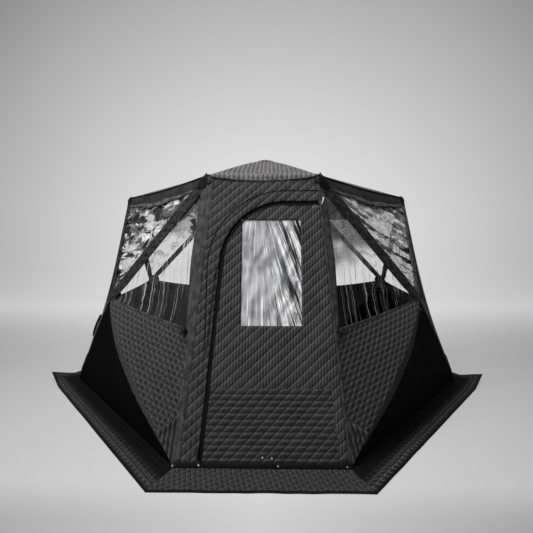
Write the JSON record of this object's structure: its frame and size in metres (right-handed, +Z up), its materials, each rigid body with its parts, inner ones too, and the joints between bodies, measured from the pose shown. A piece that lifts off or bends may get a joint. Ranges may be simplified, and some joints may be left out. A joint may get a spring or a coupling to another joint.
{
  "type": "sauna tent",
  "caption": "Six-sided pop-up sauna tent with hubbed folding walls and roof, hinged zip door, clear windows, stovepipe outlet and ground skirt.",
  "frame": {"origin": "centre of the bounding box's bottom face, on the ground under the cabin", "axes": "+Z up, door in the wall towards -Y, +X to the right seen from in front of the door"},
  "size_m": [4.4158, 3.769, 2.256],
  "materials": {
    "quilt": "matte charcoal quilted polyester",
    "plain_cloth": "near-black coated polyester",
    "webbing": "black seam binding",
    "film": "clear crumpled window film",
    "pole": "black glass-fibre",
    "nylon": "black moulded nylon",
    "silicone_cloth": "grey heat-proof coated cloth",
    "zip_metal": "dark plated zinc"
  },
  "bodies": {
    "tent_base": {"skirt": "quilt", "seam_webbing": "webbing", "door_surround": "quilt"},
    "front_right_wall_hub": {"front_right_wall_hub": "nylon"},
    "front_right_wall_bottom_panel": {"front_right_wall_bottom_panel": "plain_cloth"},
    "front_right_wall_right_panel": {"front_right_wall_right_panel": "quilt"},
    "front_right_wall_top_window": {"front_right_wall_top_window": "film"},
    "front_right_wall_left_panel": {"front_right_wall_left_panel": "quilt"},
    "front_right_wall_bottom_left_pole": {"front_right_wall_bottom_left_pole": "pole"},
    "front_right_wall_bottom_right_pole": {"front_right_wall_bottom_right_pole": "pole"},
    "front_right_wall_top_right_pole": {"front_right_wall_top_right_pole": "pole"},
    "front_right_wall_top_left_pole": {"front_right_wall_top_left_pole": "pole"},
    "rear_right_wall_hub": {"rear_right_wall_hub": "nylon"},
    "rear_right_wall_bottom_panel": {"rear_right_wall_bottom_panel": "plain_cloth"},
    "rear_right_wall_right_panel": {"rear_right_wall_right_panel": "quilt"},
    "rear_right_wall_top_window": {"rear_right_wall_top_window": "film"},
    "rear_right_wall_left_panel": {"rear_right_wall_left_panel": "quilt"},
    "rear_right_wall_bottom_left_pole": {"rear_right_wall_bottom_left_pole": "pole"},
    "rear_right_wall_bottom_right_pole": {"rear_right_wall_bottom_right_pole": "pole"},
    "rear_right_wall_top_right_pole": {"rear_right_wall_top_right_pole": "pole"},
    "rear_right_wall_top_left_pole": {"rear_right_wall_top_left_pole": "pole"},
    "rear_wall_hub": {"rear_wall_hub": "nylon"},
    "rear_wall_bottom_panel": {"rear_wall_bottom_panel": "plain_cloth"},
    "rear_wall_right_panel": {"rear_wall_right_panel": "quilt"},
    "rear_wall_top_window": {"rear_wall_top_window": "film"},
    "rear_wall_left_panel": {"rear_wall_left_panel": "quilt"},
    "rear_wall_bottom_left_pole": {"rear_wall_bottom_left_pole": "pole"},
    "rear_wall_bottom_right_pole": {"rear_wall_bottom_right_pole": "pole"},
    "rear_wall_top_right_pole": {"rear_wall_top_right_pole": "pole"},
    "rear_wall_top_left_pole": {"rear_wall_top_left_pole": "pole"},
    "rear_left_wall_hub": {"rear_left_wall_hub": "nylon"},
    "rear_left_wall_bottom_panel": {"rear_left_wall_bottom_panel": "plain_cloth"},
    "rear_left_wall_right_panel": {"rear_left_wall_right_panel": "quilt"},
    "rear_left_wall_top_window": {"rear_left_wall_top_window": "film"},
    "rear_left_wall_left_panel": {"rear_left_wall_left_panel": "quilt"},
    "rear_left_wall_bottom_left_pole": {"rear_left_wall_bottom_left_pole": "pole"},
    "rear_left_wall_bottom_right_pole": {"rear_left_wall_bottom_right_pole": "pole"},
    "rear_left_wall_top_right_pole": {"rear_left_wall_top_right_pole": "pole"},
    "rear_left_wall_top_left_pole": {"rear_left_wall_top_left_pole": "pole"},
    "front_left_wall_hub": {"front_left_wall_hub": "nylon"},
    "front_left_wall_bottom_panel": {"front_left_wall_bottom_panel": "plain_cloth"},
    "front_left_wall_right_panel": {"front_left_wall_right_panel": "quilt"},
    "front_left_wall_top_window": {"front_left_wall_top_window": "film"},
    "front_left_wall_left_panel": {"front_left_wall_left_panel": "quilt"},
    "front_left_wall_bottom_left_pole": {"front_left_wall_bottom_left_pole": "pole"},
    "front_left_wall_bottom_right_pole": {"front_left_wall_bottom_right_pole": "pole"},
    "front_left_wall_top_right_pole": {"front_left_wall_top_right_pole": "pole"},
    "front_left_wall_top_left_pole": {"front_left_wall_top_left_pole": "pole"},
    "roof_hub": {"roof_hub": "nylon"},
    "roof_front_panel": {"roof_front_panel": "quilt"},
    "roof_front_right_panel": {"roof_front_right_panel": "quilt"},
    "roof_rear_right_panel": {"roof_rear_right_panel": "quilt"},
    "roof_rear_panel": {"roof_rear_panel": "quilt", "stove_jack": "silicone_cloth"},
    "roof_rear_left_panel": {"roof_rear_left_panel": "quilt"},
    "roof_front_left_panel": {"roof_front_left_panel": "quilt"},
    "stove_flap": {"stove_flap": "silicone_cloth"},
    "door_leaf": {"door_leaf": "quilt", "door_window": "film"},
    "zip_slider": {"zip_slider": "zip_metal"}
  },
  "joints": [
    {"name": "front_right_wall_pop", "type": "slide", "parent": "tent_base", "child": "front_right_wall_hub", "axis": [-0.7133, 0.667, -0.2152], "range_m": [0, 0.46]},
    {"name": "front_right_wall_bottom_panel_fold", "type": "hinge", "parent": "tent_base", "child": "front_right_wall_bottom_panel", "pos_m": [1.245, -0.918, 0.012], "axis": [-0.683, -0.7304, 0], "range_deg": [0, 28.22]},
    {"name": "front_right_wall_right_panel_fold", "type": "hinge", "parent": "tent_base", "child": "front_right_wall_right_panel", "pos_m": [1.66395, -0.1695, 0.9435], "axis": [0.2889, 0, -0.9574], "range_deg": [0, 29.79]},
    {"name": "front_right_wall_top_window_fold", "type": "hinge", "parent": "tent_base", "child": "front_right_wall_top_window", "pos_m": [0.88519, -0.70168, 1.875], "axis": [0.683, 0.7304, 0], "range_deg": [0, 26.13]},
    {"name": "front_right_wall_left_panel_fold", "type": "hinge", "parent": "tent_base", "child": "front_right_wall_left_panel", "pos_m": [0.46625, -1.45018, 0.9435], "axis": [-0.0821, 0.2254, 0.9708], "range_deg": [0, 29.4]},
    {"name": "front_right_wall_bottom_left_pole_swing", "type": "hinge", "parent": "tent_base", "child": "front_right_wall_bottom_left_pole", "pos_m": [0.53359, -1.65583, 0.00856], "axis": [-0.5806, -0.3904, 0.7145], "range_deg": [0, 20.34]},
    {"name": "front_right_wall_bottom_right_pole_swing", "type": "hinge", "parent": "tent_base", "child": "front_right_wall_bottom_right_pole", "pos_m": [1.93359, -0.15883, 0.00856], "axis": [-0.3256, -0.5872, -0.7411], "range_deg": [0, 19.41]},
    {"name": "front_right_wall_top_right_pole_swing", "type": "hinge", "parent": "tent_base", "child": "front_right_wall_top_right_pole", "pos_m": [1.37148, -0.15883, 1.87156], "axis": [0.6517, 0.5182, -0.5538], "range_deg": [0, 22.74]},
    {"name": "front_right_wall_top_left_pole_swing", "type": "hinge", "parent": "tent_base", "child": "front_right_wall_top_left_pole", "pos_m": [0.37608, -1.22319, 1.87156], "axis": [0.4417, 0.6662, 0.6009], "range_deg": [0, 21.74]},
    {"name": "rear_right_wall_pop", "type": "slide", "parent": "tent_base", "child": "rear_right_wall_hub", "axis": [-0.8634, -0.4322, -0.2605], "range_m": [0, 0.46]},
    {"name": "rear_right_wall_bottom_panel_fold", "type": "hinge", "parent": "tent_base", "child": "rear_right_wall_bottom_panel", "pos_m": [1.4855, 0.7485, 0.012], "axis": [0.4476, -0.8942, 0], "range_deg": [0, 27.91]},
    {"name": "rear_right_wall_right_panel_fold", "type": "hinge", "parent": "tent_base", "child": "rear_right_wall_right_panel", "pos_m": [0.87774, 1.4012, 0.9435], "axis": [0.1513, 0.2708, -0.9507], "range_deg": [0, 29.62]},
    {"name": "rear_right_wall_top_window_fold", "type": "hinge", "parent": "tent_base", "child": "rear_right_wall_top_window", "pos_m": [1.05619, 0.4832, 1.875], "axis": [-0.4476, 0.8942, 0], "range_deg": [0, 25.84]},
    {"name": "rear_right_wall_left_panel_fold", "type": "hinge", "parent": "tent_base", "child": "rear_right_wall_left_panel", "pos_m": [1.66395, -0.1695, 0.9435], "axis": [-0.2889, 0, 0.9574], "range_deg": [0, 29.42]},
    {"name": "rear_right_wall_bottom_left_pole_swing", "type": "hinge", "parent": "tent_base", "child": "rear_right_wall_bottom_left_pole", "pos_m": [1.93119, -0.17641, 0.00783], "axis": [0.1321, -0.6918, 0.7099], "range_deg": [0, 19.98]},
    {"name": "rear_right_wall_bottom_right_pole_swing", "type": "hinge", "parent": "tent_base", "child": "rear_right_wall_bottom_right_pole", "pos_m": [1.01219, 1.65959, 0.00783], "axis": [0.4709, -0.5047, -0.7235], "range_deg": [0, 19.51]},
    {"name": "rear_right_wall_top_right_pole_swing", "type": "hinge", "parent": "tent_base", "child": "rear_right_wall_top_right_pole", "pos_m": [0.71567, 1.12898, 1.87083], "axis": [-0.2319, 0.7983, -0.5558], "range_deg": [0, 22.31]},
    {"name": "rear_right_wall_top_left_pole_swing", "type": "hinge", "parent": "tent_base", "child": "rear_right_wall_top_left_pole", "pos_m": [1.36908, -0.17641, 1.87083], "axis": [-0.4978, 0.6451, 0.5797], "range_deg": [0, 21.81]},
    {"name": "rear_wall_pop", "type": "slide", "parent": "tent_base", "child": "rear_wall_hub", "axis": [0, -0.9618, -0.2739], "range_m": [0, 0.46]},
    {"name": "rear_wall_bottom_panel_fold", "type": "hinge", "parent": "tent_base", "child": "rear_wall_bottom_panel", "pos_m": [0, 1.6665, 0.012], "axis": [1, 0, 0], "range_deg": [0, 27.81]},
    {"name": "rear_wall_right_panel_fold", "type": "hinge", "parent": "tent_base", "child": "rear_wall_right_panel", "pos_m": [-0.87774, 1.4012, 0.9435], "axis": [-0.1513, 0.2708, -0.9507], "range_deg": [0, 29.52]},
    {"name": "rear_wall_top_window_fold", "type": "hinge", "parent": "tent_base", "child": "rear_wall_top_window", "pos_m": [0, 1.1359, 1.875], "axis": [-1, 0, 0], "range_deg": [0, 25.74]},
    {"name": "rear_wall_left_panel_fold", "type": "hinge", "parent": "tent_base", "child": "rear_wall_left_panel", "pos_m": [0.87774, 1.4012, 0.9435], "axis": [-0.1513, -0.2708, 0.9507], "range_deg": [0, 29.52]},
    {"name": "rear_wall_bottom_left_pole_swing", "type": "hinge", "parent": "tent_base", "child": "rear_wall_bottom_left_pole", "pos_m": [1.026, 1.65111, 0.00762], "axis": [0.6715, -0.203, 0.7126], "range_deg": [0, 19.72]},
    {"name": "rear_wall_bottom_right_pole_swing", "type": "hinge", "parent": "tent_base", "child": "rear_wall_bottom_right_pole", "pos_m": [-1.026, 1.65111, 0.00762], "axis": [0.6715, 0.203, -0.7126], "range_deg": [0, 19.72]},
    {"name": "rear_wall_top_right_pole_swing", "type": "hinge", "parent": "tent_base", "child": "rear_wall_top_right_pole", "pos_m": [-0.72949, 1.12051, 1.87062], "axis": [-0.8099, 0.1607, -0.5641], "range_deg": [0, 22.01]},
    {"name": "rear_wall_top_left_pole_swing", "type": "hinge", "parent": "tent_base", "child": "rear_wall_top_left_pole", "pos_m": [0.72949, 1.12051, 1.87062], "axis": [-0.8099, -0.1607, 0.5641], "range_deg": [0, 22.01]},
    {"name": "rear_left_wall_pop", "type": "slide", "parent": "tent_base", "child": "rear_left_wall_hub", "axis": [0.8634, -0.4322, -0.2605], "range_m": [0, 0.46]},
    {"name": "rear_left_wall_bottom_panel_fold", "type": "hinge", "parent": "tent_base", "child": "rear_left_wall_bottom_panel", "pos_m": [-1.4855, 0.7485, 0.012], "axis": [0.4476, 0.8942, 0], "range_deg": [0, 27.91]},
    {"name": "rear_left_wall_right_panel_fold", "type": "hinge", "parent": "tent_base", "child": "rear_left_wall_right_panel", "pos_m": [-1.66395, -0.1695, 0.9435], "axis": [-0.2889, 0, -0.9574], "range_deg": [0, 29.42]},
    {"name": "rear_left_wall_top_window_fold", "type": "hinge", "parent": "tent_base", "child": "rear_left_wall_top_window", "pos_m": [-1.05619, 0.4832, 1.875], "axis": [-0.4476, -0.8942, 0], "range_deg": [0, 25.84]},
    {"name": "rear_left_wall_left_panel_fold", "type": "hinge", "parent": "tent_base", "child": "rear_left_wall_left_panel", "pos_m": [-0.87774, 1.4012, 0.9435], "axis": [0.1513, -0.2708, 0.9507], "range_deg": [0, 29.62]},
    {"name": "rear_left_wall_bottom_left_pole_swing", "type": "hinge", "parent": "tent_base", "child": "rear_left_wall_bottom_left_pole", "pos_m": [-1.01219, 1.65959, 0.00783], "axis": [0.4709, 0.5047, 0.7235], "range_deg": [0, 19.51]},
    {"name": "rear_left_wall_bottom_right_pole_swing", "type": "hinge", "parent": "tent_base", "child": "rear_left_wall_bottom_right_pole", "pos_m": [-1.93119, -0.17641, 0.00783], "axis": [0.1321, 0.6918, -0.7099], "range_deg": [0, 19.98]},
    {"name": "rear_left_wall_top_right_pole_swing", "type": "hinge", "parent": "tent_base", "child": "rear_left_wall_top_right_pole", "pos_m": [-1.36908, -0.17641, 1.87083], "axis": [-0.4978, -0.6451, -0.5797], "range_deg": [0, 21.81]},
    {"name": "rear_left_wall_top_left_pole_swing", "type": "hinge", "parent": "tent_base", "child": "rear_left_wall_top_left_pole", "pos_m": [-0.71567, 1.12898, 1.87083], "axis": [-0.2319, -0.7983, 0.5558], "range_deg": [0, 22.31]},
    {"name": "front_left_wall_pop", "type": "slide", "parent": "tent_base", "child": "front_left_wall_hub", "axis": [0.7133, 0.667, -0.2152], "range_m": [0, 0.46]},
    {"name": "front_left_wall_bottom_panel_fold", "type": "hinge", "parent": "tent_base", "child": "front_left_wall_bottom_panel", "pos_m": [-1.245, -0.918, 0.012], "axis": [-0.683, 0.7304, 0], "range_deg": [0, 28.22]},
    {"name": "front_left_wall_right_panel_fold", "type": "hinge", "parent": "tent_base", "child": "front_left_wall_right_panel", "pos_m": [-0.46625, -1.45018, 0.9435], "axis": [-0.0821, -0.2254, -0.9708], "range_deg": [0, 29.4]},
    {"name": "front_left_wall_top_window_fold", "type": "hinge", "parent": "tent_base", "child": "front_left_wall_top_window", "pos_m": [-0.88519, -0.70168, 1.875], "axis": [0.683, -0.7304, 0], "range_deg": [0, 26.13]},
    {"name": "front_left_wall_left_panel_fold", "type": "hinge", "parent": "tent_base", "child": "front_left_wall_left_panel", "pos_m": [-1.66395, -0.1695, 0.9435], "axis": [0.2889, 0, 0.9574], "range_deg": [0, 29.79]},
    {"name": "front_left_wall_bottom_left_pole_swing", "type": "hinge", "parent": "tent_base", "child": "front_left_wall_bottom_left_pole", "pos_m": [-1.93359, -0.15883, 0.00856], "axis": [-0.3256, 0.5872, 0.7411], "range_deg": [0, 19.41]},
    {"name": "front_left_wall_bottom_right_pole_swing", "type": "hinge", "parent": "tent_base", "child": "front_left_wall_bottom_right_pole", "pos_m": [-0.53359, -1.65583, 0.00856], "axis": [-0.5806, 0.3904, -0.7145], "range_deg": [0, 20.34]},
    {"name": "front_left_wall_top_right_pole_swing", "type": "hinge", "parent": "tent_base", "child": "front_left_wall_top_right_pole", "pos_m": [-0.37608, -1.22319, 1.87156], "axis": [0.4417, -0.6662, -0.6009], "range_deg": [0, 21.74]},
    {"name": "front_left_wall_top_left_pole_swing", "type": "hinge", "parent": "tent_base", "child": "front_left_wall_top_left_pole", "pos_m": [-1.37148, -0.15883, 1.87156], "axis": [0.6517, -0.5182, 0.5538], "range_deg": [0, 22.74]},
    {"name": "roof_pop", "type": "slide", "parent": "tent_base", "child": "roof_hub", "axis": [0, 0, -1], "range_m": [0, 0.75]},
    {"name": "roof_front_panel_fold", "type": "hinge", "parent": "tent_base", "child": "roof_front_panel", "pos_m": [0, -1.23387, 1.875], "axis": [-1, 0, 0], "range_deg": [0, 38.84]},
    {"name": "roof_front_right_panel_fold", "type": "hinge", "parent": "tent_base", "child": "roof_front_right_panel", "pos_m": [0.88519, -0.70168, 1.875], "axis": [-0.683, -0.7304, 0], "range_deg": [0, 40.76]},
    {"name": "roof_rear_right_panel_fold", "type": "hinge", "parent": "tent_base", "child": "roof_rear_right_panel", "pos_m": [1.05619, 0.4832, 1.875], "axis": [0.4476, -0.8942, 0], "range_deg": [0, 33.76]},
    {"name": "roof_rear_panel_fold", "type": "hinge", "parent": "tent_base", "child": "roof_rear_panel", "pos_m": [0, 1.1359, 1.875], "axis": [1, 0, 0], "range_deg": [0, 32.08]},
    {"name": "roof_rear_left_panel_fold", "type": "hinge", "parent": "tent_base", "child": "roof_rear_left_panel", "pos_m": [-1.05619, 0.4832, 1.875], "axis": [0.4476, 0.8942, 0], "range_deg": [0, 33.76]},
    {"name": "roof_front_left_panel_fold", "type": "hinge", "parent": "tent_base", "child": "roof_front_left_panel", "pos_m": [-0.88519, -0.70168, 1.875], "axis": [-0.683, 0.7304, 0], "range_deg": [0, 40.76]},
    {"name": "stove_flap_turn", "type": "hinge", "parent": "roof_rear_panel", "child": "stove_flap", "pos_m": [0, 0.61472, 2.02414], "axis": [1, 0, 0], "range_deg": [0, 180]},
    {"name": "door_swing", "type": "hinge", "parent": "tent_base", "child": "door_leaf", "pos_m": [0.545, -1.6665, 0.012], "axis": [0.0821, -0.2254, -0.9708], "range_deg": [-120, 0]},
    {"name": "zip_run", "type": "slide", "parent": "tent_base", "child": "zip_slider", "axis": [0.0797, 0.2255, 0.971], "range_m": [0, 1.1812]}
  ],
  "couplings": [
    {"joint": "front_right_wall_bottom_panel_fold", "follows": "front_right_wall_pop", "rad_per_m": 1.0699},
    {"joint": "front_right_wall_right_panel_fold", "follows": "front_right_wall_pop", "rad_per_m": 1.1295},
    {"joint": "front_right_wall_top_window_fold", "follows": "front_right_wall_pop", "rad_per_m": 0.99056},
    {"joint": "front_right_wall_left_panel_fold", "follows": "front_right_wall_pop", "rad_per_m": 1.1146},
    {"joint": "front_right_wall_bottom_left_pole_swing", "follows": "front_right_wall_pop", "rad_per_m": 0.771},
    {"joint": "front_right_wall_bottom_right_pole_swing", "follows": "front_right_wall_pop", "rad_per_m": 0.73573},
    {"joint": "front_right_wall_top_right_pole_swing", "follows": "front_right_wall_pop", "rad_per_m": 0.86218},
    {"joint": "front_right_wall_top_left_pole_swing", "follows": "front_right_wall_pop", "rad_per_m": 0.82428},
    {"joint": "rear_right_wall_bottom_panel_fold", "follows": "rear_right_wall_pop", "rad_per_m": 1.0583},
    {"joint": "rear_right_wall_right_panel_fold", "follows": "rear_right_wall_pop", "rad_per_m": 1.1229},
    {"joint": "rear_right_wall_top_window_fold", "follows": "rear_right_wall_pop", "rad_per_m": 0.97969},
    {"joint": "rear_right_wall_left_panel_fold", "follows": "rear_right_wall_pop", "rad_per_m": 1.1154},
    {"joint": "rear_right_wall_bottom_left_pole_swing", "follows": "rear_right_wall_pop", "rad_per_m": 0.75744},
    {"joint": "rear_right_wall_bottom_right_pole_swing", "follows": "rear_right_wall_pop", "rad_per_m": 0.73962},
    {"joint": "rear_right_wall_top_right_pole_swing", "follows": "rear_right_wall_pop", "rad_per_m": 0.8458},
    {"joint": "rear_right_wall_top_left_pole_swing", "follows": "rear_right_wall_pop", "rad_per_m": 0.82676},
    {"joint": "rear_wall_bottom_panel_fold", "follows": "rear_wall_pop", "rad_per_m": 1.0543},
    {"joint": "rear_wall_right_panel_fold", "follows": "rear_wall_pop", "rad_per_m": 1.1194},
    {"joint": "rear_wall_top_window_fold", "follows": "rear_wall_pop", "rad_per_m": 0.97603},
    {"joint": "rear_wall_left_panel_fold", "follows": "rear_wall_pop", "rad_per_m": 1.1194},
    {"joint": "rear_wall_bottom_left_pole_swing", "follows": "rear_wall_pop", "rad_per_m": 0.74737},
    {"joint": "rear_wall_bottom_right_pole_swing", "follows": "rear_wall_pop", "rad_per_m": 0.74737},
    {"joint": "rear_wall_top_right_pole_swing", "follows": "rear_wall_pop", "rad_per_m": 0.83427},
    {"joint": "rear_wall_top_left_pole_swing", "follows": "rear_wall_pop", "rad_per_m": 0.83427},
    {"joint": "rear_left_wall_bottom_panel_fold", "follows": "rear_left_wall_pop", "rad_per_m": 1.0583},
    {"joint": "rear_left_wall_right_panel_fold", "follows": "rear_left_wall_pop", "rad_per_m": 1.1154},
    {"joint": "rear_left_wall_top_window_fold", "follows": "rear_left_wall_pop", "rad_per_m": 0.97969},
    {"joint": "rear_left_wall_left_panel_fold", "follows": "rear_left_wall_pop", "rad_per_m": 1.1229},
    {"joint": "rear_left_wall_bottom_left_pole_swing", "follows": "rear_left_wall_pop", "rad_per_m": 0.73962},
    {"joint": "rear_left_wall_bottom_right_pole_swing", "follows": "rear_left_wall_pop", "rad_per_m": 0.75744},
    {"joint": "rear_left_wall_top_right_pole_swing", "follows": "rear_left_wall_pop", "rad_per_m": 0.82676},
    {"joint": "rear_left_wall_top_left_pole_swing", "follows": "rear_left_wall_pop", "rad_per_m": 0.8458},
    {"joint": "front_left_wall_bottom_panel_fold", "follows": "front_left_wall_pop", "rad_per_m": 1.0699},
    {"joint": "front_left_wall_right_panel_fold", "follows": "front_left_wall_pop", "rad_per_m": 1.1146},
    {"joint": "front_left_wall_top_window_fold", "follows": "front_left_wall_pop", "rad_per_m": 0.99056},
    {"joint": "front_left_wall_left_panel_fold", "follows": "front_left_wall_pop", "rad_per_m": 1.1295},
    {"joint": "front_left_wall_bottom_left_pole_swing", "follows": "front_left_wall_pop", "rad_per_m": 0.73573},
    {"joint": "front_left_wall_bottom_right_pole_swing", "follows": "front_left_wall_pop", "rad_per_m": 0.771},
    {"joint": "front_left_wall_top_right_pole_swing", "follows": "front_left_wall_pop", "rad_per_m": 0.82428},
    {"joint": "front_left_wall_top_left_pole_swing", "follows": "front_left_wall_pop", "rad_per_m": 0.86218},
    {"joint": "roof_front_panel_fold", "follows": "roof_pop", "rad_per_m": 0.90331},
    {"joint": "roof_front_right_panel_fold", "follows": "roof_pop", "rad_per_m": 0.94801},
    {"joint": "roof_rear_right_panel_fold", "follows": "roof_pop", "rad_per_m": 0.78515},
    {"joint": "roof_rear_panel_fold", "follows": "roof_pop", "rad_per_m": 0.74596},
    {"joint": "roof_rear_left_panel_fold", "follows": "roof_pop", "rad_per_m": 0.78515},
    {"joint": "roof_front_left_panel_fold", "follows": "roof_pop", "rad_per_m": 0.94801}
  ]
}
